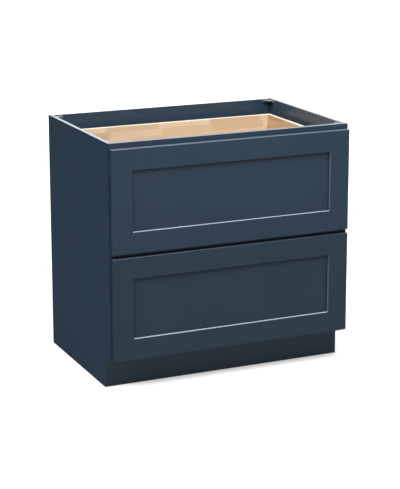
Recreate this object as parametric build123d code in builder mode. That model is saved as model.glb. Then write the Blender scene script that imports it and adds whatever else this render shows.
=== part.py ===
"""Bathroom vanity base cabinet with a face frame and two full-overlay drawers, in millimetres.

+Z is up and the drawers open towards -Y. The origin is the middle of the cabinet's footprint, on the floor.
"""

from build123d import *
import os

os.makedirs("parts", exist_ok=True)

# ---------------------------------------------------------------- driving dimensions
# Carcass
CABINET_WIDTH = 914.4
CABINET_HEIGHT = 876.3
CABINET_DEPTH = 609.6  # face frame's front to the rear edge, without the drawer fronts
SIDE_THICKNESS = 12.7
FLOOR_THICKNESS = 12.7
FLOOR_LIP = 12.4  # the bottom rail's top stands this far above the cabinet's floor
BACK_THICKNESS = 6.0
NAILER_THICKNESS = 12.7
NAILER_HEIGHT = 90.0
TOP_NAILER_DROP = 6.0  # the top nailer is this far below the rim
NAILER_BELOW_SLIDE = 22.5  # the other nailers reach this far below the slides they back
DADO_DEPTH = 6.0
TONGUE_THICKNESS = 8.0  # on the front edge of each side panel, held in its stile
TONGUE_LENGTH = 6.0
TOE_HEIGHT = 114.3
TOE_DEPTH = 62.0
TOE_BOARD_THICKNESS = 12.7

# Face frame
FRAME_THICKNESS = 19.0
FRAME_BAR = 38.1  # width of each stile and rail
TENON_LENGTH = 20.0
TENON_THICKNESS = 6.0
TENON_SHOULDER = 6.0

# Drawer fronts
FRONT_THICKNESS = 19.0
FRONT_SIDE_REVEAL = 3.2
FRONT_TOP_REVEAL = 19.0
FRONT_GAP = 14.0  # between the two fronts
FRONT_STANDOFF = 1.5  # between a closed front and the face frame
FRONT_BAR = 75.0  # width of each stile and rail of a front
FRONT_EDGE_RADIUS = 1.5
PANEL_RECESS = 9.5
PANEL_THICKNESS = 6.0
PANEL_GROOVE = 10.0
PANEL_PLAY = 0.5
INNER_BEVEL = 0.8
FRONT_TENON_LENGTH = 25.0
FRONT_TENON_SHOULDER = 12.0
FRONT_SCREW_MARGIN = 22.0  # screws from the recess's upper and lower edges
FRONT_SCREW_BITE = 12.0  # how far they enter the front
BUMPER_RADIUS = 5.0
BUMPER_THICKNESS = 1.2
BUMPER_MARGIN = 16.0

# Drawer boxes
BOX_LENGTH = 533.4
BOX_HEIGHT = 284.0
BOX_TOP_CLEARANCE = 9.2  # below the top rail of the face frame
BOX_SIDE_GAP = 5.0  # between the box and the frame's opening
BOX_THICKNESS = 15.0
BOX_EDGE_RADIUS = 1.2
BOX_BOTTOM_THICKNESS = 6.0
BOX_BOTTOM_RECESS = 13.0
TAIL_COUNT = 10
TAIL_HALF_TIP = 10.2
TAIL_HALF_ROOT = 7.6

# Undermount slides
SLIDE_STEEL = 1.2
SLIDE_FOLD_RADIUS = 1.0
SLIDE_HEIGHT = 14.0  # from the slide's base to the box's bottom edge
SLIDE_LENGTH = 525.0
SLIDE_SETBACK = 2.0  # behind the face frame's front
# Section points of the folded members: inset from the frame's opening, height above the slide's base
RAIL_SECTION = [(0.6, 26.0), (0.6, 0.6), (43.4, 0.6), (43.4, 7.0), (38.0, 7.0)]
CENTRE_SECTION = [(41.0, 2.4), (24.0, 2.4), (24.0, 12.4), (36.0, 12.4)]
RUNNER_SECTION = [(22.0, 15.0), (22.0, 26.4), (42.0, 26.4), (42.0, 9.4), (38.0, 9.4)]
RUNNER_TAB_RISE = 1.0  # the closed rear end of a runner starts this far above the box's bottom edge
# Nylon pads around the centre member's two flanges: two opposite corners of their section
LOWER_GLIDE = ((37.0, 1.5), (42.4, 6.1))
UPPER_GLIDE = ((27.0, 10.3), (41.1, 25.5))
GLIDE_LENGTH = 40.0
LOWER_GLIDE_PLACES = (0.53, 0.91)  # along the centre member, as a share of its length
UPPER_GLIDE_PLACES = (0.12, 0.39)
# Hook on a runner's rear end, which enters the back of the box
HOOK_INSET = 32.0
HOOK_HEIGHT = 21.0
HOOK_RADIUS = 2.4
HOOK_LENGTH = 9.0
# Locking clips under the front of the box
CLIP_LENGTH = 45.0
CLIP_INSETS = (21.5, 52.0)
CLIP_HEIGHTS = (15.0, 26.8)
CLIP_LEVER = 14.0
CLIP_LEVER_THICKNESS = 4.5
# Rear brackets and the slides' screws
BRACKET_STEEL = 1.5
BRACKET_HEIGHT = 45.0
BRACKET_INSETS = (4.0, 40.0)
BRACKET_OVERLAP = 30.0
BRACKET_SCREW_INSETS = (12.0, 32.0)
BRACKET_SCREW_HEIGHT = 30.0
SLIDE_SCREW_LENGTH = 16.0
SLIDE_SCREW_HEIGHTS = (9.0, 19.0)

# Corner braces
BRACE_LEG = 36.0
BRACE_TIP = 6.0
BRACE_PLATE = 2.5
BRACE_FLANGE = 2.5
BRACE_FLANGE_HEIGHT = 9.0
BRACE_DROP = 3.0  # below the rim
BRACE_BOSS_INSET = 13.0  # countertop screw hole, from each wall
BRACE_BOSS_RADIUS = 5.5
BRACE_BOSS_HEIGHT = 5.0
BRACE_SCREW_REACH = 31.0  # along a flange, from the corner
BRACE_SCREW_LENGTH = 14.0
BRACE_SCREW_HEAD_RADIUS = 2.8
COUNTERTOP_HOLE_RADIUS = 2.5

# Screws
HEAD_RADIUS = 3.6
HEAD_HEIGHT = 1.8
SHANK_RADIUS = 1.9
CLEARANCE_RADIUS = 2.2
RECESS_LENGTH = 4.0
RECESS_WIDTH = 0.9
RECESS_DEPTH = 1.2

# ---------------------------------------------------------------- places worked out from them
HALF_WIDTH = CABINET_WIDTH / 2
INNER_HALF = HALF_WIDTH - SIDE_THICKNESS
OPENING_HALF = HALF_WIDTH - FRAME_BAR

OVERALL_DEPTH = CABINET_DEPTH + FRONT_STANDOFF + FRONT_THICKNESS
FACE = -OVERALL_DEPTH / 2  # front plane of the drawer fronts
FRONT_BACK = FACE + FRONT_THICKNESS
FRAME_FRONT = FRONT_BACK + FRONT_STANDOFF
FRAME_BACK = FRAME_FRONT + FRAME_THICKNESS
REAR = OVERALL_DEPTH / 2
BACK_REAR = REAR - NAILER_THICKNESS
BACK_FRONT = BACK_REAR - BACK_THICKNESS
TOE_FRONT = FRAME_FRONT + TOE_DEPTH

FLOOR_TOP = TOE_HEIGHT + FRAME_BAR - FLOOR_LIP
FLOOR_BOTTOM = FLOOR_TOP - FLOOR_THICKNESS

FRONT_HEIGHT = (CABINET_HEIGHT - FRONT_TOP_REVEAL - TOE_HEIGHT - FRONT_GAP) / 2
FRONT_HALF = HALF_WIDTH - FRONT_SIDE_REVEAL
DRAWER_PITCH = FRONT_HEIGHT + FRONT_GAP
FRONT_BOTTOMS = {"lower": TOE_HEIGHT, "upper": TOE_HEIGHT + DRAWER_PITCH}
PANEL_FRONT = FACE + PANEL_RECESS
PANEL_BACK = PANEL_FRONT + PANEL_THICKNESS

BOX_HALF = OPENING_HALF - BOX_SIDE_GAP
BOX_INNER_HALF = BOX_HALF - BOX_THICKNESS
BOX_REAR = FRONT_BACK + BOX_LENGTH
BOX_RISE = (  # from a front's bottom edge to its box's bottom edge
    CABINET_HEIGHT - FRAME_BAR - BOX_TOP_CLEARANCE - BOX_HEIGHT - FRONT_BOTTOMS["upper"]
)
TAIL_PITCH = BOX_HEIGHT / TAIL_COUNT

MID_RAIL_MIDDLE = FRONT_BOTTOMS["upper"] - FRONT_GAP / 2
RAIL_BOTTOMS = {
    "top": CABINET_HEIGHT - FRAME_BAR,
    "mid": MID_RAIL_MIDDLE - FRAME_BAR / 2,
    "bottom": TOE_HEIGHT,
}

SLIDE_BASES = {level: low + BOX_RISE - SLIDE_HEIGHT for level, low in FRONT_BOTTOMS.items()}
SLIDE_FRONT = FRAME_FRONT + SLIDE_SETBACK
SLIDE_REAR = SLIDE_FRONT + SLIDE_LENGTH
NAILER_BOTTOMS = {
    "top": CABINET_HEIGHT - TOP_NAILER_DROP - NAILER_HEIGHT,
    "mid": SLIDE_BASES["upper"] - NAILER_BELOW_SLIDE,
    "bottom": SLIDE_BASES["lower"] - NAILER_BELOW_SLIDE,
}

BRACE_TOP = CABINET_HEIGHT - BRACE_DROP
BRACE_WALLS = {"front": (FRAME_BACK, 1), "back": (BACK_FRONT, -1)}
RUNNER_FRONT = FRONT_BACK + BOX_THICKNESS + CLIP_LENGTH
RUNNER_REAR = BOX_REAR - BOX_THICKNESS

SIDES = {"left": -1, "right": 1}
TO_FRONT = (0, -1, 0)
TO_REAR = (0, 1, 0)


# ---------------------------------------------------------------- helpers
def save(piece, label):
    """Labels a finished piece and writes it."""
    piece.part.label = label
    export_step(piece.part, f"parts/{label}.step")


def block(low, high, mode=Mode.ADD):
    """Adds or cuts the box between two opposite corners, in any order."""
    middle = [(a + b) / 2 for a, b in zip(low, high)]
    size = [abs(b - a) for a, b in zip(low, high)]
    with Locations(tuple(middle)):
        Box(*size, mode=mode)


def seats(direction, points):
    """Planes at the given points that all face one direction."""
    return [Plane(origin=point, z_dir=direction) for point in points]


def screws(planes, length, head_radius=HEAD_RADIUS):
    """Pan-head screws with a cross recess. Each plane lies under a head and faces out of the wood."""
    for plane in planes:
        with BuildSketch(plane) as head:
            Circle(head_radius)
        with BuildSketch(plane) as shank:
            Circle(SHANK_RADIUS)
        with BuildSketch(plane.offset(HEAD_HEIGHT)) as recess:
            Rectangle(RECESS_LENGTH, RECESS_WIDTH)
            Rectangle(RECESS_WIDTH, RECESS_LENGTH)
        extrude(head.sketch, amount=HEAD_HEIGHT)
        extrude(shank.sketch, amount=-length)
        extrude(recess.sketch, amount=-RECESS_DEPTH, mode=Mode.SUBTRACT)


def holes(planes, radius, depth):
    """Round holes that run from each plane against its normal."""
    for plane in planes:
        with BuildSketch(plane) as mouth:
            Circle(radius)
        extrude(mouth.sketch, amount=-depth, mode=Mode.SUBTRACT)


# ---------------------------------------------------------------- carcass panels
def floor_block(mode=Mode.ADD):
    """The cabinet's floor, which also cuts its dados in the sides."""
    reach = INNER_HALF + DADO_DEPTH
    block((-reach, FRAME_BACK, FLOOR_BOTTOM), (reach, BACK_FRONT, FLOOR_TOP), mode)


def back_block(mode=Mode.ADD):
    """The back panel, which also cuts its grooves in the sides."""
    reach = INNER_HALF + DADO_DEPTH
    block((-reach, BACK_FRONT, 0), (reach, BACK_REAR, CABINET_HEIGHT), mode)


def tongue_block(side, mode=Mode.ADD):
    """The tongue on a side panel's front edge, which enters a groove in the stile."""
    inner = side * INNER_HALF
    outer = inner + side * TONGUE_THICKNESS
    top = CABINET_HEIGHT - TENON_SHOULDER
    block((inner, FRAME_BACK - TONGUE_LENGTH, TOE_HEIGHT), (outer, FRAME_BACK, top), mode)


for hand, side in SIDES.items():
    with BuildPart() as side_panel:
        with BuildSketch(Plane.YZ.offset(min(side * HALF_WIDTH, side * INNER_HALF))):
            with BuildLine():
                Polyline(
                    (TOE_FRONT, 0),
                    (REAR, 0),
                    (REAR, CABINET_HEIGHT),
                    (FRAME_BACK, CABINET_HEIGHT),
                    (FRAME_BACK, TOE_HEIGHT),
                    (TOE_FRONT, TOE_HEIGHT),
                    close=True,
                )
            make_face()
        extrude(amount=SIDE_THICKNESS)
        tongue_block(side)
        floor_block(Mode.SUBTRACT)
        back_block(Mode.SUBTRACT)
    save(side_panel, f"{hand}_side_panel")

with BuildPart() as bottom_panel:
    floor_block()
save(bottom_panel, "bottom_panel")

with BuildPart() as back_panel:
    back_block()
save(back_panel, "back_panel")

with BuildPart() as toe_kick_board:
    block(
        (-INNER_HALF, TOE_FRONT, 0),
        (INNER_HALF, TOE_FRONT + TOE_BOARD_THICKNESS, FLOOR_BOTTOM),
    )
save(toe_kick_board, "toe_kick_board")

for level, low in NAILER_BOTTOMS.items():
    with BuildPart() as nailer:
        block((-INNER_HALF, BACK_REAR, low), (INNER_HALF, REAR, low + NAILER_HEIGHT))
    save(nailer, f"{level}_nailer")


# ---------------------------------------------------------------- face frame
def frame_tenon(side, low, mode=Mode.ADD):
    """The tenon on one end of a rail whose lower edge is at the height low."""
    shoulder = side * OPENING_HALF
    front = FRAME_FRONT + (FRAME_THICKNESS - TENON_THICKNESS) / 2
    block(
        (shoulder, front, low + TENON_SHOULDER),
        (shoulder + side * TENON_LENGTH, front + TENON_THICKNESS, low + FRAME_BAR - TENON_SHOULDER),
        mode,
    )


for hand, side in SIDES.items():
    with BuildPart() as stile:
        block(
            (side * OPENING_HALF, FRAME_FRONT, TOE_HEIGHT),
            (side * HALF_WIDTH, FRAME_BACK, CABINET_HEIGHT),
        )
        tongue_block(side, Mode.SUBTRACT)
        for low in RAIL_BOTTOMS.values():
            frame_tenon(side, low, Mode.SUBTRACT)
    save(stile, f"frame_{hand}_stile")

for level, low in RAIL_BOTTOMS.items():
    with BuildPart() as rail:
        block((-OPENING_HALF, FRAME_FRONT, low), (OPENING_HALF, FRAME_BACK, low + FRAME_BAR))
        for side in SIDES.values():
            frame_tenon(side, low)
    save(rail, f"frame_{level}_rail")


# ---------------------------------------------------------------- corner braces
def brace_screw_seats(side, wall, into):
    """Screw seats on a brace's two flanges. The wall's y and the direction into the cabinet place it."""
    height = BRACE_TOP - (BRACE_PLATE + BRACE_FLANGE_HEIGHT) / 2
    on_side = (side * (INNER_HALF - BRACE_FLANGE), wall + into * BRACE_SCREW_REACH, height)
    on_wall = (side * (INNER_HALF - BRACE_SCREW_REACH), wall + into * BRACE_FLANGE, height)
    return seats((-side, 0, 0), [on_side]) + seats((0, into, 0), [on_wall])


brace_seats = []
for row, (wall, into) in BRACE_WALLS.items():
    for hand, side in SIDES.items():
        corner = side * INNER_HALF
        toward = -side
        seat_pair = brace_screw_seats(side, wall, into)
        brace_seats += seat_pair
        with BuildPart() as brace:
            with BuildSketch(Plane.XY.offset(BRACE_TOP - BRACE_PLATE)):
                with BuildLine():
                    Polyline(
                        (corner, wall),
                        (corner + toward * BRACE_LEG, wall),
                        (corner + toward * BRACE_LEG, wall + into * BRACE_TIP),
                        (corner + toward * BRACE_TIP, wall + into * BRACE_LEG),
                        (corner, wall + into * BRACE_LEG),
                        close=True,
                    )
                make_face()
            extrude(amount=BRACE_PLATE)
            low = BRACE_TOP - BRACE_FLANGE_HEIGHT
            block(
                (corner, wall, low),
                (corner + toward * BRACE_FLANGE, wall + into * BRACE_LEG, BRACE_TOP),
            )
            block(
                (corner, wall, low),
                (corner + toward * BRACE_LEG, wall + into * BRACE_FLANGE, BRACE_TOP),
            )
            boss = (corner + toward * BRACE_BOSS_INSET, wall + into * BRACE_BOSS_INSET)
            with BuildSketch(Plane.XY.offset(BRACE_TOP)):
                with Locations(boss):
                    Circle(BRACE_BOSS_RADIUS)
            extrude(amount=-BRACE_BOSS_HEIGHT)
            with BuildSketch(Plane.XY.offset(BRACE_TOP)):
                with Locations(boss):
                    Circle(COUNTERTOP_HOLE_RADIUS)
            extrude(amount=-BRACE_BOSS_HEIGHT, mode=Mode.SUBTRACT)
            holes(seat_pair, CLEARANCE_RADIUS, BRACE_FLANGE)
        save(brace, f"{row}_{hand}_corner_brace")

with BuildPart() as corner_brace_screws:
    screws(brace_seats, BRACE_SCREW_LENGTH, BRACE_SCREW_HEAD_RADIUS)
save(corner_brace_screws, "corner_brace_screws")


# ---------------------------------------------------------------- undermount slides

def from_edge(side, inset):
    """X of a point that lies inset from the frame's opening edge on one side."""
    return side * (OPENING_HALF - inset)


def folded_member(section, side, base, front, rear):
    """Extrudes a folded sheet section between two depths."""
    points = [(from_edge(side, inset), base + height) for inset, height in section]
    with BuildSketch(Plane.XZ.offset(-rear)) as profile:
        with BuildLine():
            FilletPolyline(*points, radius=SLIDE_FOLD_RADIUS)
        trace(line_width=SLIDE_STEEL)
    extrude(profile.sketch, amount=rear - front)


def rail_screw_seats(side, base):
    """Seats of the screws that hold a slide's front end to the stile's inner edge."""
    depth = FRAME_FRONT + FRAME_THICKNESS / 2
    points = [(from_edge(side, SLIDE_STEEL), depth, base + height) for height in SLIDE_SCREW_HEIGHTS]
    return seats((-side, 0, 0), points)


def bracket_screw_seats(side, base):
    """Seats of the screws that hold a rear bracket to the back panel and its nailer."""
    depth = BACK_FRONT - BRACKET_STEEL
    height = base + BRACKET_SCREW_HEIGHT
    points = [(from_edge(side, inset), depth, height) for inset in BRACKET_SCREW_INSETS]
    return seats(TO_FRONT, points)


def glide_pads(corners, places, side, base):
    """Nylon pads at some places along a centre member."""
    (inset_a, height_a), (inset_b, height_b) = corners
    for place in places:
        start = SLIDE_FRONT + place * SLIDE_LENGTH
        block(
            (from_edge(side, inset_a), start, base + height_a),
            (from_edge(side, inset_b), start + GLIDE_LENGTH, base + height_b),
        )


slide_seats = []
for level, base in SLIDE_BASES.items():
    centres = []
    for hand, side in SIDES.items():
        with BuildPart() as slide_rail:
            folded_member(RAIL_SECTION, side, base, SLIDE_FRONT, SLIDE_REAR)
            holes(rail_screw_seats(side, base), CLEARANCE_RADIUS, SLIDE_STEEL)
        save(slide_rail, f"{level}_{hand}_slide_rail")
        slide_seats += rail_screw_seats(side, base) + bracket_screw_seats(side, base)

        with BuildPart() as slide_centre:
            folded_member(CENTRE_SECTION, side, base, SLIDE_FRONT, SLIDE_REAR)
        save(slide_centre, f"{level}_{hand}_slide_centre")
        centres.append(slide_centre.part)

    with BuildPart() as slide_glides:
        for side in SIDES.values():
            glide_pads(LOWER_GLIDE, LOWER_GLIDE_PLACES, side, base)
            glide_pads(UPPER_GLIDE, UPPER_GLIDE_PLACES, side, base)
        add(centres, mode=Mode.SUBTRACT)
    save(slide_glides, f"{level}_slide_glides")

with BuildPart() as slide_rear_brackets:
    for base in SLIDE_BASES.values():
        for side in SIDES.values():
            near, far = [from_edge(side, inset) for inset in BRACKET_INSETS]
            block((near, SLIDE_REAR - BRACKET_OVERLAP, base - BRACKET_STEEL), (far, BACK_FRONT, base))
            block(
                (near, BACK_FRONT - BRACKET_STEEL, base - BRACKET_STEEL),
                (far, BACK_FRONT, base + BRACKET_HEIGHT),
            )
            holes(bracket_screw_seats(side, base), CLEARANCE_RADIUS, BRACKET_STEEL)
save(slide_rear_brackets, "slide_rear_brackets")

with BuildPart() as slide_screws:
    screws(slide_seats, SLIDE_SCREW_LENGTH)
save(slide_screws, "slide_screws")


# ---------------------------------------------------------------- drawer fronts
def front_tenon(side, low, high, mode=Mode.ADD):
    """The tenon on one end of a front's rail, between two heights."""
    shoulder = side * (FRONT_HALF - FRONT_BAR)
    block(
        (shoulder, PANEL_FRONT, low),
        (shoulder + side * FRONT_TENON_LENGTH, PANEL_BACK, high),
        mode,
    )


def whole_front_frame(bottom):
    """A front's four bars as one ring, with eased edges and the panel's groove, before it is divided."""
    top = bottom + FRONT_HEIGHT
    with BuildPart() as ring:
        block((-FRONT_HALF, FACE, bottom), (FRONT_HALF, FRONT_BACK, top))
        block(
            (-FRONT_HALF + FRONT_BAR, FACE, bottom + FRONT_BAR),
            (FRONT_HALF - FRONT_BAR, FRONT_BACK, top - FRONT_BAR),
            Mode.SUBTRACT,
        )
        fillet(ring.faces().sort_by(Axis.Y)[0].outer_wire().edges(), FRONT_EDGE_RADIUS)
        chamfer(ring.faces().sort_by(Axis.Y)[0].inner_wires()[0].edges(), INNER_BEVEL)
        reach = FRONT_BAR - PANEL_GROOVE
        block(
            (-FRONT_HALF + reach, PANEL_FRONT, bottom + reach),
            (FRONT_HALF - reach, PANEL_BACK, top - reach),
            Mode.SUBTRACT,
        )
    return ring.part


def front_screw_seats(bottom):
    """Seats of the screws that come from inside the box and hold the front's stiles."""
    across = BOX_INNER_HALF - 2 * HEAD_RADIUS
    depth = FRONT_BACK + BOX_THICKNESS
    margin = FRONT_BAR + FRONT_SCREW_MARGIN
    heights = (bottom + margin, bottom + FRONT_HEIGHT - margin)
    points = [(side * across, depth, height) for side in SIDES.values() for height in heights]
    return seats(TO_REAR, points)


def build_front(level, bottom):
    """The five pieces of a drawer front, its screws and its bumpers."""
    top = bottom + FRONT_HEIGHT
    ring = whole_front_frame(bottom)
    tenon_spans = {
        "bottom": (bottom + FRONT_TENON_SHOULDER, bottom + FRONT_BAR - PANEL_GROOVE),
        "top": (top - FRONT_BAR + PANEL_GROOVE, top - FRONT_TENON_SHOULDER),
    }
    for hand, side in SIDES.items():
        with BuildPart() as stile:
            add(ring)
            block(
                (side * (FRONT_HALF - FRONT_BAR), FACE, bottom),
                (side * FRONT_HALF, FRONT_BACK, top),
                Mode.INTERSECT,
            )
            for low, high in tenon_spans.values():
                front_tenon(side, low, high, Mode.SUBTRACT)
        save(stile, f"{level}_front_{hand}_stile")

    rail_spans = {"bottom": (bottom, bottom + FRONT_BAR), "top": (top - FRONT_BAR, top)}
    for place, (low, high) in rail_spans.items():
        with BuildPart() as rail:
            add(ring)
            block(
                (-FRONT_HALF + FRONT_BAR, FACE, low),
                (FRONT_HALF - FRONT_BAR, FRONT_BACK, high),
                Mode.INTERSECT,
            )
            for side in SIDES.values():
                front_tenon(side, *tenon_spans[place])
        save(rail, f"{level}_front_{place}_rail")

    with BuildPart() as panel:
        reach = FRONT_BAR - PANEL_GROOVE + PANEL_PLAY
        block(
            (-FRONT_HALF + reach, PANEL_FRONT, bottom + reach),
            (FRONT_HALF - reach, PANEL_BACK, top - reach),
        )
    save(panel, f"{level}_front_panel")

    with BuildPart() as front_screws:
        screws(front_screw_seats(bottom), BOX_THICKNESS + FRONT_SCREW_BITE)
    save(front_screws, f"{level}_front_screws")

    with BuildPart() as front_bumpers:
        across = OPENING_HALF + FRAME_BAR / 2
        with BuildSketch(Plane.XZ.offset(-FRONT_BACK)):
            for side in SIDES.values():
                for height in (bottom + BUMPER_MARGIN, top - BUMPER_MARGIN):
                    with Locations((side * across, height)):
                        Circle(BUMPER_RADIUS)
        extrude(amount=-BUMPER_THICKNESS)
    save(front_bumpers, f"{level}_front_bumpers")


# ---------------------------------------------------------------- drawer boxes
def tails(root, tip, bottom, side, mode):
    """The dovetail tails at one end of a box side, from their root to the box's end."""
    with BuildSketch(Plane.YZ.offset(min(side * BOX_HALF, side * BOX_INNER_HALF))) as outline:
        for index in range(TAIL_COUNT):
            middle = bottom + TAIL_PITCH * (index + 0.5)
            with BuildLine():
                Polyline(
                    (root, middle - TAIL_HALF_ROOT),
                    (tip, middle - TAIL_HALF_TIP),
                    (tip, middle + TAIL_HALF_TIP),
                    (root, middle + TAIL_HALF_ROOT),
                    close=True,
                )
            make_face()
    extrude(outline.sketch, amount=BOX_THICKNESS, mode=mode)


def box_bottom_block(bottom, mode=Mode.ADD):
    """The box's bottom panel, which also cuts its groove in the four boards."""
    reach = BOX_INNER_HALF + DADO_DEPTH
    low = bottom + BOX_BOTTOM_RECESS
    block(
        (-reach, FRONT_BACK + BOX_THICKNESS - DADO_DEPTH, low),
        (reach, BOX_REAR - BOX_THICKNESS + DADO_DEPTH, low + BOX_BOTTOM_THICKNESS),
        mode,
    )


def ease_top(board, along):
    """Rounds a board's long upper edges."""
    top_edges = board.edges().group_by(Axis.Z)[-1].filter_by(along)
    fillet(top_edges, BOX_EDGE_RADIUS)


def build_box(level, bottom):
    """The five pieces of a dovetailed drawer box, its clips and the runners under it."""
    box_low = bottom + BOX_RISE
    box_high = box_low + BOX_HEIGHT
    base = box_low - SLIDE_HEIGHT
    inner_front = FRONT_BACK + BOX_THICKNESS
    inner_rear = BOX_REAR - BOX_THICKNESS
    ends = {"front": (inner_front, FRONT_BACK), "back": (inner_rear, BOX_REAR)}

    for hand, side in SIDES.items():
        with BuildPart() as box_side:
            block((side * BOX_INNER_HALF, inner_front, box_low), (side * BOX_HALF, inner_rear, box_high))
            ease_top(box_side, Axis.Y)
            for root, tip in ends.values():
                tails(root, tip, box_low, side, Mode.ADD)
            box_bottom_block(box_low, Mode.SUBTRACT)
        save(box_side, f"{level}_box_{hand}_side")

    for place, (root, tip) in ends.items():
        with BuildPart() as board:
            block((-BOX_HALF, root, box_low), (BOX_HALF, tip, box_high))
            ease_top(board, Axis.X)
            for side in SIDES.values():
                tails(root, tip, box_low, side, Mode.SUBTRACT)
            box_bottom_block(box_low, Mode.SUBTRACT)
            if place == "front":
                holes(front_screw_seats(bottom), CLEARANCE_RADIUS, BOX_THICKNESS)
            else:
                points = [(from_edge(side, HOOK_INSET), root, base + HOOK_HEIGHT) for side in SIDES.values()]
                holes(seats(TO_FRONT, points), HOOK_RADIUS, HOOK_LENGTH)
        save(board, f"{level}_box_{place}")

    with BuildPart() as box_bottom:
        box_bottom_block(box_low)
    save(box_bottom, f"{level}_box_bottom")

    inner_inset = RUNNER_SECTION[0][0]
    outer_inset, runner_top = RUNNER_SECTION[2]
    tab_low = box_low + RUNNER_TAB_RISE
    for hand, side in SIDES.items():
        with BuildPart() as runner:
            folded_member(RUNNER_SECTION, side, base, RUNNER_FRONT, RUNNER_REAR)
            block(
                (from_edge(side, inner_inset), RUNNER_REAR - SLIDE_STEEL, tab_low),
                (from_edge(side, outer_inset), RUNNER_REAR, base + runner_top),
            )
            hook_point = (from_edge(side, HOOK_INSET), RUNNER_REAR, base + HOOK_HEIGHT)
            with BuildSketch(*seats(TO_FRONT, [hook_point])):
                Circle(HOOK_RADIUS)
            extrude(amount=-HOOK_LENGTH)
        save(runner, f"{level}_{hand}_slide_runner")

    with BuildPart() as slide_clips:
        for side in SIDES.values():
            near, far = [from_edge(side, inset) for inset in CLIP_INSETS]
            low, high = [base + height for height in CLIP_HEIGHTS]
            block((near, inner_front, low), (far, RUNNER_FRONT, high))
            block(
                (far, inner_front + CLIP_LEVER, low),
                (far - side * CLIP_LEVER, inner_front + 2 * CLIP_LEVER, low + CLIP_LEVER_THICKNESS),
            )
    save(slide_clips, f"{level}_slide_clips")


for level, bottom in FRONT_BOTTOMS.items():
    build_front(level, bottom)
    build_box(level, bottom)
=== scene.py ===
import math

import bpy
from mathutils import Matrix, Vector


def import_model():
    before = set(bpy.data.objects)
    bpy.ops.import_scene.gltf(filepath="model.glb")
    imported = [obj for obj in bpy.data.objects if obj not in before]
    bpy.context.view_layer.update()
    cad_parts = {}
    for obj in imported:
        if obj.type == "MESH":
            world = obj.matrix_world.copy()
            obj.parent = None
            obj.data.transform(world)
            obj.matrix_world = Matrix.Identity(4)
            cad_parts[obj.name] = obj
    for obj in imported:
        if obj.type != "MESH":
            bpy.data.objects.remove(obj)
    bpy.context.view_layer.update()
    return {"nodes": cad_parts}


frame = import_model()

SIDES = {"left": -1, "right": 1}
LEVELS = ("upper", "lower")
PLACES = ("top", "mid", "bottom")
MM = 0.001


# ---------------------------------------------------------------- shader graphs
class Graph:
    """A material's node tree around one Principled shader, with short calls for the nodes it uses."""

    def __init__(self, name):
        self.material = bpy.data.materials.new(name)
        self.material.use_nodes = True
        self.nodes = self.material.node_tree.nodes
        self.links = self.material.node_tree.links
        self.shader = self.nodes["Principled BSDF"]
        self.texture = self.nodes.new("ShaderNodeTexCoord")
        self.place = self.texture.outputs["Object"]
        self.x, self.y, self.z = self.separate(self.place)
        self.normal = self.separate(self.nodes.new("ShaderNodeNewGeometry").outputs["Normal"])

    def put(self, socket, value):
        """Links a socket, or sets it to a number or colour."""
        if isinstance(value, bpy.types.NodeSocket):
            self.links.new(value, socket)
        elif isinstance(value, tuple) and len(value) == 3 and socket.type == "RGBA":
            socket.default_value = (*value, 1.0)
        else:
            socket.default_value = value

    def set(self, **values):
        """Sets the shader's own sockets; underscores stand for spaces."""
        for name, value in values.items():
            self.put(self.shader.inputs[name.replace("_", " ")], value)

    def separate(self, vector):
        node = self.nodes.new("ShaderNodeSeparateXYZ")
        self.links.new(vector, node.inputs[0])
        return tuple(node.outputs)

    def combine(self, x, y, z):
        node = self.nodes.new("ShaderNodeCombineXYZ")
        for socket, value in zip(node.inputs, (x, y, z)):
            self.put(socket, value)
        return node.outputs[0]

    def stretched(self, axis, share):
        """The object's place with one axis drawn out, so that noise runs along it."""
        return self.combine(
            *[
                self.math("MULTIPLY", value, share if name == axis else 1.0)
                for name, value in zip("xyz", (self.x, self.y, self.z))
            ]
        )

    def math(self, operation, *values):
        node = self.nodes.new("ShaderNodeMath")
        node.operation = operation
        for socket, value in zip(node.inputs, values):
            self.put(socket, value)
        return node.outputs[0]

    def span(self, value, low, high, start=0.0, end=1.0):
        """Maps low..high to start..end smoothly, and holds the ends."""
        node = self.nodes.new("ShaderNodeMapRange")
        node.interpolation_type = "SMOOTHSTEP"
        for socket, number in zip(node.inputs, (value, low, high, start, end)):
            self.put(socket, number)
        return node.outputs[0]

    def noise(self, vector, scale, detail=3.0, roughness=0.55, distortion=0.0):
        node = self.nodes.new("ShaderNodeTexNoise")
        values = {
            "Vector": vector,
            "Scale": scale,
            "Detail": detail,
            "Roughness": roughness,
            "Distortion": distortion,
        }
        for name, value in values.items():
            self.put(node.inputs[name], value)
        return node.outputs[0]

    def cells(self, vector):
        """White noise, one random number for each distinct vector."""
        node = self.nodes.new("ShaderNodeTexWhiteNoise")
        self.links.new(vector, node.inputs["Vector"])
        return node.outputs[0]

    def mix(self, factor, first, second, blend="MIX"):
        node = self.nodes.new("ShaderNodeMix")
        node.data_type = "RGBA"
        node.blend_type = blend
        self.put(node.inputs[0], factor)
        self.put(node.inputs[6], first)
        self.put(node.inputs[7], second)
        return node.outputs[2]

    def ramp(self, factor, *stops):
        """Colour stops, each a position and a colour."""
        node = self.nodes.new("ShaderNodeValToRGB")
        elements = node.color_ramp.elements
        while len(elements) < len(stops):
            elements.new(0.5)
        for element, (position, colour) in zip(elements, stops):
            element.position = position
            element.color = (*colour, 1.0)
        self.links.new(factor, node.inputs[0])
        return node.outputs[0]

    def bump(self, height, distance, strength):
        node = self.nodes.new("ShaderNodeBump")
        node.inputs["Strength"].default_value = strength
        node.inputs["Distance"].default_value = distance
        self.put(node.inputs["Height"], height)
        return node.outputs[0]


def scaled(colour, factor):
    return tuple(channel * factor for channel in colour)


def tinted(colour, tint):
    return tuple(channel * share for channel, share in zip(colour, tint))


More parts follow.
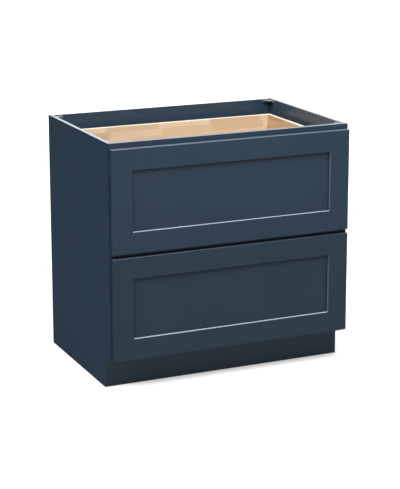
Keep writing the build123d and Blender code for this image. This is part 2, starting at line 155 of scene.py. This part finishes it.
# ---------------------------------------------------------------- materials
PAINT = (0.0139, 0.0282, 0.0452)
BLACK = (0.0, 0.0, 0.0)
PAINT_CLOUDING = 0.015  # the share by which the colour drifts up and down
PAINT_ROUGHNESS = (0.285, 0.315)
PEEL_DEPTH = 0.08 * MM
FIBRE_SHARE = 0.45  # of the relief; the rest is the spray's orange peel
# the paler colour of the painted highlights on edges, ledges and inner faces
HIGHLIGHT_TONE = (0.62, 0.72, 0.85)
RAW_PLY = (0.55, 0.39, 0.235)
RAW_EXTRA_ROUGHNESS = 0.45
ALONG_GRAIN = 0.05  # scales the place along the grain, which draws the noise out that way


def painted(name, grain, raw=None, shade=1.0, pale=(), dark=None):
    """Satin sprayed paint over wood.

    raw(graph) is a mask of the faces that were left bare. pale lists the faces with a painted
    highlight, a paler colour standing in for light, each as an axis, the sign of its normal and the
    share of the paler colour. dark(graph) is the share by which the colour is darkened at each
    place, as painted shade. shade scales the colour as painted light and shade.
    """
    g = Graph(name)
    cloud = g.noise(g.place, 5.0, 2.0)
    # shade scales the paint up or down, as painted light and shade for each piece
    low, high = (scaled(PAINT, (1.0 + drift) * shade) for drift in (-PAINT_CLOUDING, PAINT_CLOUDING))
    colour = g.mix(g.span(cloud, 0.35, 0.65), low, high)
    # painted highlights: the faces in pale are mixed towards the paler colour
    for axis, sign, share in pale:
        colour = g.mix(g.math("MULTIPLY", facing(g, axis, sign), share), colour, HIGHLIGHT_TONE)
    # dark darkens the colour towards black, as painted shade
    if dark is not None:
        colour = g.mix(dark(g), colour, BLACK)
    fibre = g.noise(g.stretched(grain, 0.06), 420.0, 3.0, 0.6)
    peel = g.noise(g.place, 620.0, 2.0, 0.5)
    fibre_part = g.math("MULTIPLY", fibre, FIBRE_SHARE)
    peel_part = g.math("MULTIPLY", peel, 1.0 - FIBRE_SHARE)
    relief = g.math("ADD", fibre_part, peel_part)
    roughness = g.span(cloud, 0.3, 0.7, *PAINT_ROUGHNESS)
    if raw is not None:
        mask = raw(g)
        colour = g.mix(mask, colour, plies(g, grain))
        roughness = g.math("ADD", roughness, g.math("MULTIPLY", mask, RAW_EXTRA_ROUGHNESS))
    g.set(Base_Color=colour, Roughness=roughness, Normal=g.bump(relief, PEEL_DEPTH, 0.4))
    return g.material


def plies(g, grain):
    """Bare plywood: soft streaks along the grain."""
    streaks = g.stretched(grain, ALONG_GRAIN)
    broad = g.noise(streaks, 34.0, 4.0, 0.6, 0.6)
    fine = g.noise(streaks, 300.0, 2.0, 0.6)
    tone = g.mix(g.span(broad, 0.3, 0.7), scaled(RAW_PLY, 0.8), scaled(RAW_PLY, 1.15))
    return g.mix(g.span(fine, 0.35, 0.7, 0.0, 0.35), tone, scaled(RAW_PLY, 0.6))


FACING_LIMIT = 0.8  # leaves out the 45 degree bevels


def facing(g, axis, sign):
    """A mask of the faces whose normal points along an axis."""
    component = g.normal["xyz".index(axis)]
    return g.math("GREATER_THAN", g.math("MULTIPLY", component, sign), FACING_LIMIT)


STAVE_HEIGHT = 27 * MM
STAVE_LENGTH = 210 * MM
FINGER_PITCH = 4 * MM
FINGER_LENGTH = 9 * MM
WOOD_DARK = (0.445, 0.32, 0.2)
WOOD_MIDDLE = (0.535, 0.42, 0.295)
WOOD_LIGHT = (0.62, 0.525, 0.41)
# the paler tone of the painted highlight on the boards' top edges
WOOD_TOP_HIGHLIGHT = (0.68, 0.60, 0.49)
FIGURE_TONE = (0.56, 0.345, 0.17)
FIBRE_TONE = (0.42, 0.25, 0.12)
SEAM_TONE = (0.34, 0.20, 0.10)
SEAM_HALF_WIDTH = 0.22 * MM
END_DARK = (0.40, 0.235, 0.115)
END_LIGHT = (0.58, 0.375, 0.20)


def stave_wood(name, grain, seed, shade):
    """Clear-lacquered solid wood, glued up from short finger-jointed staves. grain is x or y."""
    g = Graph(name)
    along = g.x if grain == "x" else g.y
    across = g.y if grain == "x" else g.x
    row = g.math("FLOOR", g.math("DIVIDE", g.z, STAVE_HEIGHT))
    row_key = g.combine(row, seed, 1.7)
    start = g.math("MULTIPLY", g.cells(row_key), STAVE_LENGTH)
    zigzag = g.math("PINGPONG", g.z, FINGER_PITCH / 2)
    finger = g.math("MULTIPLY", zigzag, FINGER_LENGTH / FINGER_PITCH)
    reach = g.math("ADD", g.math("ADD", along, start), finger)
    column = g.math("FLOOR", g.math("DIVIDE", reach, STAVE_LENGTH))
    stave = g.cells(g.combine(row, column, seed))
    stave_key = g.math("MULTIPLY", stave, 9.0)

    drawn_out = g.math("MULTIPLY", along, ALONG_GRAIN)
    grain_place = g.combine(drawn_out, g.math("ADD", across, stave_key), g.z)
    figure = g.noise(grain_place, 62.0, 4.0, 0.55, 0.9)
    fibre = g.noise(grain_place, 520.0, 3.0, 0.6)
    # shade tints the tones, as painted shade on the side boards
    tones = [tinted(tone, shade) for tone in (WOOD_DARK, WOOD_MIDDLE, WOOD_LIGHT)]
    tone = g.ramp(stave, *zip((0.0, 0.45, 1.0), tones))
    tone = g.mix(g.span(figure, 0.3, 0.72, 0.0, 0.38), tone, FIGURE_TONE)
    tone = g.mix(g.span(fibre, 0.4, 0.75, 0.0, 0.16), tone, FIBRE_TONE)

    seam_row = g.math("PINGPONG", g.z, STAVE_HEIGHT / 2)
    joint = g.math("PINGPONG", reach, STAVE_LENGTH / 2)
    near_row = g.math("LESS_THAN", seam_row, SEAM_HALF_WIDTH)
    near_joint = g.math("LESS_THAN", joint, SEAM_HALF_WIDTH)
    seam = g.math("MULTIPLY", g.math("MAXIMUM", near_row, near_joint), 0.35)
    tone = g.mix(seam, tone, SEAM_TONE)

    end_place = g.combine(g.math("ADD", across, stave_key), g.z, seed)
    end_rings = g.noise(end_place, 240.0, 3.0, 0.7, 1.4)
    end_tone = g.mix(g.span(end_rings, 0.3, 0.7), END_DARK, END_LIGHT)
    ends = g.math("GREATER_THAN", g.math("ABSOLUTE", g.normal["xy".index(grain)]), 0.7)
    tone = g.mix(ends, tone, end_tone)
    # painted highlight: upward faces are mixed towards a paler tone
    tone = g.mix(g.math("MULTIPLY", facing(g, "z", 1.0), 0.8), tone, WOOD_TOP_HIGHLIGHT)

    roughness = g.span(g.noise(grain_place, 90.0, 3.0), 0.3, 0.7, 0.33, 0.46)
    g.set(Base_Color=tone, Roughness=roughness, Normal=g.bump(fibre, 0.1 * MM, 0.5))
    g.set(Coat_Weight=0.15, Coat_Roughness=0.3)
    return g.material


VENEER_PALE = (0.44, 0.335, 0.225)
VENEER_DARK = (0.355, 0.245, 0.145)
VENEER_FIBRE = (0.27, 0.17, 0.09)
RING_PHASE = 153.0  # radians of growth rings per metre across the sheet
RING_WARP = 57.8  # radians by which the rings wander


def bottom_veneer(name):
    """The drawer bottom's veneer: long cathedral figure along X."""
    g = Graph(name)
    place = g.combine(g.math("MULTIPLY", g.x, 0.11), g.y, g.z)
    warp = g.noise(place, 5.0, 2.0, 0.5, 0.4)
    phase = g.math("ADD", g.math("MULTIPLY", g.y, RING_PHASE), g.math("MULTIPLY", warp, RING_WARP))
    rings = g.math("SINE", phase)
    fibre = g.noise(place, 480.0, 3.0, 0.6)
    tone = g.mix(g.span(rings, -1.0, 1.0, 0.0, 0.45), VENEER_PALE, VENEER_DARK)
    tone = g.mix(g.span(fibre, 0.4, 0.75, 0.0, 0.16), tone, VENEER_FIBRE)
    roughness = g.span(warp, 0.3, 0.7, 0.36, 0.48)
    g.set(Base_Color=tone, Roughness=roughness, Normal=g.bump(fibre, 0.08 * MM, 0.4))
    return g.material


PLY_THICKNESS = 1.6 * MM
GLUE_LINE = (0.6 * MM, 1.0 * MM)  # where one ply's tone turns into the next


def bare_plywood(name):
    """Unfinished nailer stock, with its plies on the long edges."""
    g = Graph(name)
    face = plies(g, "x")
    layer = g.math("PINGPONG", g.y, PLY_THICKNESS)
    stripes = g.span(layer, *GLUE_LINE)
    edge = g.mix(stripes, scaled(RAW_PLY, 0.5), scaled(RAW_PLY, 1.0))
    on_edge = g.math("LESS_THAN", g.math("ABSOLUTE", g.normal[1]), 0.5)
    fibre = g.noise(g.stretched("x", ALONG_GRAIN), 300.0, 3.0)
    g.set(Base_Color=g.mix(on_edge, face, edge), Roughness=g.span(fibre, 0.3, 0.7, 0.68, 0.82))
    g.set(Normal=g.bump(fibre, 0.2 * MM, 0.6))
    return g.material


def moulded(name, colour, roughness, grain_size=900.0):
    """Moulded plastic with a fine eroded grain."""
    g = Graph(name)
    grain = g.noise(g.place, grain_size, 3.0, 0.6)
    cloud = g.noise(g.place, 40.0, 3.0)
    tone = g.mix(g.span(cloud, 0.3, 0.7), scaled(colour, 0.88), scaled(colour, 1.1))
    g.set(Base_Color=tone, Roughness=g.span(grain, 0.3, 0.7, roughness - 0.06, roughness + 0.06))
    g.set(Normal=g.bump(grain, 0.15 * MM, 0.6))
    return g


def zinc(name, colour, grain):
    """Zinc-plated steel: metallic, with faint rolling streaks and spangle."""
    g = Graph(name)
    streak = g.noise(g.stretched(grain, 0.02), 900.0, 3.0, 0.6)
    spangle = g.noise(g.place, 60.0, 4.0, 0.6)
    tone = g.mix(g.span(spangle, 0.35, 0.65), scaled(colour, 0.85), scaled(colour, 1.08))
    rough = g.math("ADD", g.span(streak, 0.3, 0.7, 0.24, 0.36), g.math("MULTIPLY", spangle, 0.12))
    g.set(Base_Color=tone, Roughness=rough, Metallic=1.0, Normal=g.bump(streak, 0.05 * MM, 0.5))
    return g.material


def rubber(name):
    """Clear soft bumpers."""
    g = moulded(name, (0.78, 0.79, 0.78), 0.28, 500.0)
    g.set(Transmission_Weight=0.55, IOR=1.48)
    return g.material


# ---------------------------------------------------------------- dressing the CAD nodes
def dress(node, material):
    """Gives a CAD node its material."""
    frame["nodes"][node].material_slots[0].material = material


def bare_rear(g):
    return facing(g, "y", 1.0)


def bare_rear_and_foot(g):
    return g.math("MAXIMUM", facing(g, "y", 1.0), facing(g, "z", -1.0))


def bare_underside(g):
    return facing(g, "z", -1.0)


# Painted light: the paint of the side panels, the back panel and the toe kick is brightened for how
# light falls on them.
SIDE_PAINTED_LIGHT = 1.12
BACK_PAINTED_LIGHT = 1.45
TOE_PAINTED_LIGHT = 1.1
# Painted light on the side panels' inner faces, and a painted highlight on their top edges.
INNER_FACE_LIGHT = 0.02
RIM_HIGHLIGHT = 0.2


def dress_carcass():
    for side, sign in SIDES.items():
        # painted light on the inner face and a painted highlight on the top edge
        pale = [("x", -sign, INNER_FACE_LIGHT), ("z", 1, RIM_HIGHLIGHT)]
        side_paint = painted(f"paint_{side}_side", "z", bare_rear_and_foot, SIDE_PAINTED_LIGHT, pale)
        dress(f"{side}_side_panel", side_paint)
    dress("back_panel", painted("paint_back", "z", bare_rear, BACK_PAINTED_LIGHT))
    dress("toe_kick_board", painted("paint_toe_kick", "x", bare_rear_and_foot, TOE_PAINTED_LIGHT))
    dress("bottom_panel", painted("paint_floor", "x", bare_underside))
    ply = bare_plywood("bare_plywood")
    for place in PLACES:
        dress(f"{place}_nailer", ply)


# Painted highlights: shares of the paler colour on the fronts' top edges, the bottom rails' ledges
# and the stiles' inner edges.
TOP_EDGE_HIGHLIGHT = {"upper": 0.115, "lower": 0.045}
# painted shade: the lower front's paint is 8 % darker, for the light falling off lower down
FRONT_PAINTED_SHADE = {"upper": 1.0, "lower": 0.92}
LEDGE_HIGHLIGHT = 0.6
INNER_EDGE_HIGHLIGHT = 0.12
PANEL_IN_GROOVE = 9.5 * MM  # how far the front bars cover a recessed panel's edges
# painted shade in the corners of each recessed panel
CORNER_SHADE_WIDTH = 12 * MM
CORNER_SHADE_SHARE = 0.42


def painted_corner_shade(node):
    """Painted shade in the corners where a recessed panel meets the stiles and the top rail."""
    corners = frame["nodes"][node].bound_box
    half_width = max(corner[0] for corner in corners) - PANEL_IN_GROOVE
    top = max(corner[2] for corner in corners) - PANEL_IN_GROOVE

    def share(g):
        to_stile = g.math("SUBTRACT", half_width, g.math("ABSOLUTE", g.x))
        to_rail = g.math("SUBTRACT", top, g.z)
        return g.span(g.math("MINIMUM", to_stile, to_rail), 0.0, CORNER_SHADE_WIDTH, CORNER_SHADE_SHARE, 0.0)

    return share


def dress_frame_and_fronts():
    upright = painted("paint_frame_stile", "z")
    level = painted("paint_frame_rail", "x")
    for side in SIDES:
        dress(f"frame_{side}_stile", upright)
    for place in PLACES:
        dress(f"frame_{place}_rail", level)
    for drawer, share in TOP_EDGE_HIGHLIGHT.items():
        # painted highlight on the front's top edge
        top_edge_highlight = ("z", 1, share)
        # painted shade on the lower front
        shade = FRONT_PAINTED_SHADE[drawer]
        for side, sign in SIDES.items():
            # painted highlight on the stile's inner edge
            inner_edge_highlight = ("x", -sign, INNER_EDGE_HIGHLIGHT)
            pale = [top_edge_highlight, inner_edge_highlight]
            stile = painted(f"paint_{drawer}_{side}_stile", "z", shade=shade, pale=pale)
            dress(f"{drawer}_front_{side}_stile", stile)
        top_rail = painted(f"paint_{drawer}_top_rail", "x", shade=shade, pale=[top_edge_highlight])
        dress(f"{drawer}_front_top_rail", top_rail)
        # painted highlight on the bottom rail's ledge
        ledge_highlight = ("z", 1, LEDGE_HIGHLIGHT)
        bottom_rail = painted(f"paint_{drawer}_bottom_rail", "x", shade=shade, pale=[ledge_highlight])
        dress(f"{drawer}_front_bottom_rail", bottom_rail)
        # painted shade in the recessed panel's corners
        dark = painted_corner_shade(f"{drawer}_front_panel")
        dress(f"{drawer}_front_panel", painted(f"paint_{drawer}_panel", "x", shade=shade, dark=dark))


BOARD_GRAINS = {"left_side": "y", "right_side": "y", "front": "x", "back": "x"}
GRAIN_PAINTED_SHADE = {"x": (1.0, 1.0, 1.0), "y": (0.6, 0.48, 0.37)}  # the side boards are tinted darker and warmer as painted shade
FIRST_SEED = 3.0
SEED_PER_DRAWER = 7.0
SEED_PER_BOARD = 1.3


def dress_boxes():
    veneer = bottom_veneer("drawer_bottom_veneer")
    for number, drawer in enumerate(LEVELS):
        for step, (board, grain) in enumerate(BOARD_GRAINS.items()):
            name = f"{drawer}_box_{board}"
            seed = FIRST_SEED + SEED_PER_DRAWER * number + SEED_PER_BOARD * step
            dress(name, stave_wood(f"wood_{name}", grain, seed, GRAIN_PAINTED_SHADE[grain]))
        dress(f"{drawer}_box_bottom", veneer)


def dress_hardware():
    steel = zinc("zinc_slide", (0.60, 0.61, 0.62), "y")
    screw = zinc("zinc_screw", (0.66, 0.64, 0.58), "none")
    brace = moulded("brace_plastic", (0.16, 0.135, 0.122), 0.42).material
    clip = moulded("clip_plastic", (0.12, 0.125, 0.13), 0.42).material
    nylon = moulded("nylon_glide", (0.78, 0.78, 0.74), 0.35).material
    soft = rubber("clear_bumper")
    for node in frame["nodes"]:
        if "screws" in node:
            dress(node, screw)
        elif "corner_brace" in node:
            dress(node, brace)
        elif "clips" in node:
            dress(node, clip)
        elif "glides" in node:
            dress(node, nylon)
        elif "bumpers" in node:
            dress(node, soft)
        elif "slide" in node:
            dress(node, steel)


# ---------------------------------------------------------------- studio
FLOOR_SIZE = 60.0
FLOOR_COLOUR = (0.6, 0.6, 0.6)
FLOOR_GLOW = 0.4  # keeps the contact shadows faint


def floor():
    """A pale floor that bounces light up, but isn't mirrored in the satin paint."""
    bpy.ops.mesh.primitive_plane_add(size=FLOOR_SIZE, location=(0, 0, 0))
    plane = bpy.context.object
    plane.name = "floor"
    g = Graph("floor_paint")
    cloud = g.noise(g.place, 3.0, 2.0)
    tone = g.mix(g.span(cloud, 0.3, 0.7), scaled(FLOOR_COLOUR, 0.99), FLOOR_COLOUR)
    g.set(Base_Color=tone, Roughness=0.85, Specular_IOR_Level=0.1)
    g.set(Emission_Color=(1.0, 1.0, 1.0), Emission_Strength=FLOOR_GLOW)
    plane.data.materials.append(g.material)
    plane.visible_glossy = False


def aimed(name, light, place, target=(0.0, 0.0, 0.45)):
    """Links a light that faces a target and that the camera doesn't see."""
    lamp = bpy.data.objects.new(name, light)
    bpy.context.scene.collection.objects.link(lamp)
    lamp.location = place
    lamp.rotation_euler = (Vector(target) - Vector(place)).to_track_quat("-Z", "Y").to_euler()
    lamp.visible_camera = False
    return lamp


def softbox(name, place, size, power, colour=(1.0, 1.0, 1.0)):
    """A rectangular area light."""
    light = bpy.data.lights.new(name, "AREA")
    light.shape = "RECTANGLE"
    light.size, light.size_y = size
    light.energy = power
    light.color = colour
    return aimed(name, light, place)


def sky_panel(name, place, spread, strength):
    """A wide distant light, the same everywhere on the floor."""
    light = bpy.data.lights.new(name, "SUN")
    light.angle = math.radians(spread)
    light.energy = strength
    return aimed(name, light, place)


def direction(azimuth, elevation, distance):
    """A place seen from the origin. Azimuth 0 is behind the object, and it grows towards +X."""
    turn, rise = math.radians(azimuth), math.radians(elevation)
    level = distance * math.cos(rise)
    return (level * math.sin(turn), level * math.cos(turn), distance * math.sin(rise))


WORLD_FRONT = (-0.8, 0.18)  # the direction's y and the room's brightness there
WORLD_REAR = (0.6, 0.03)


def world():
    """White to the camera, and to everything else a dim room that is darker behind the object."""
    surroundings = bpy.data.worlds.new("studio")
    surroundings.use_nodes = True
    bpy.context.scene.world = surroundings
    nodes, links = surroundings.node_tree.nodes, surroundings.node_tree.links
    background = nodes["Background"]
    background.inputs["Color"].default_value = (1, 1, 1, 1)
    coordinates = nodes.new("ShaderNodeTexCoord")
    parts = nodes.new("ShaderNodeSeparateXYZ")
    links.new(coordinates.outputs["Generated"], parts.inputs[0])
    to_rear = nodes.new("ShaderNodeMapRange")
    to_rear.interpolation_type = "SMOOTHSTEP"
    links.new(parts.outputs["Y"], to_rear.inputs["Value"])
    limits = zip(("From Min", "To Min", "From Max", "To Max"), WORLD_FRONT + WORLD_REAR)
    for name, value in limits:
        to_rear.inputs[name].default_value = value
    rays = nodes.new("ShaderNodeLightPath")
    seen = nodes.new("ShaderNodeMix")
    seen.data_type = "FLOAT"
    links.new(rays.outputs["Is Camera Ray"], seen.inputs[0])
    links.new(to_rear.outputs["Result"], seen.inputs[2])
    seen.inputs[3].default_value = 1.0
    links.new(seen.outputs[0], background.inputs["Strength"])


def lights():
    sky_panel("overhead", direction(0.0, 90.0, 5.0), spread=80.0, strength=2.3)
    softbox("key", (0.0, -1.4, 2.5), size=(1.6, 1.1), power=74.0)
    sky_panel("left_high", direction(-90.0, 50.0, 5.0), spread=30.0, strength=2.6)
    sky_panel("left_low", direction(-115.0, 2.0, 5.0), spread=34.0, strength=0.5)
    cool_white = (0.93, 0.98, 1.0)
    softbox("rear", direction(30.0, 22.0, 6.0), size=(5.0, 3.4), power=100.0, colour=cool_white)


CAMERA_AZIMUTH = -24.45  # degrees, 0 looks along +Y
CAMERA_ELEVATION = 13.01
CAMERA_PLACE = (-2.3344, -5.2037, 1.9115)
CAMERA_LENS = 117.95  # millimetres, as the sensor's width is
SENSOR_WIDTH = 36.0
CAMERA_SHIFT = (-0.0102, -0.1)


def camera():
    data = bpy.data.cameras.new("camera")
    data.lens = CAMERA_LENS
    data.sensor_width = SENSOR_WIDTH
    data.shift_x, data.shift_y = CAMERA_SHIFT
    view = bpy.data.objects.new("camera", data)
    bpy.context.scene.collection.objects.link(view)
    view.location = CAMERA_PLACE
    view.rotation_euler = (math.radians(90.0 - CAMERA_ELEVATION), 0, math.radians(CAMERA_AZIMUTH))
    bpy.context.scene.camera = view


dress_carcass()
dress_frame_and_fronts()
dress_boxes()
dress_hardware()
floor()
world()
lights()
camera()
bpy.context.scene.view_settings.view_transform = "Standard"
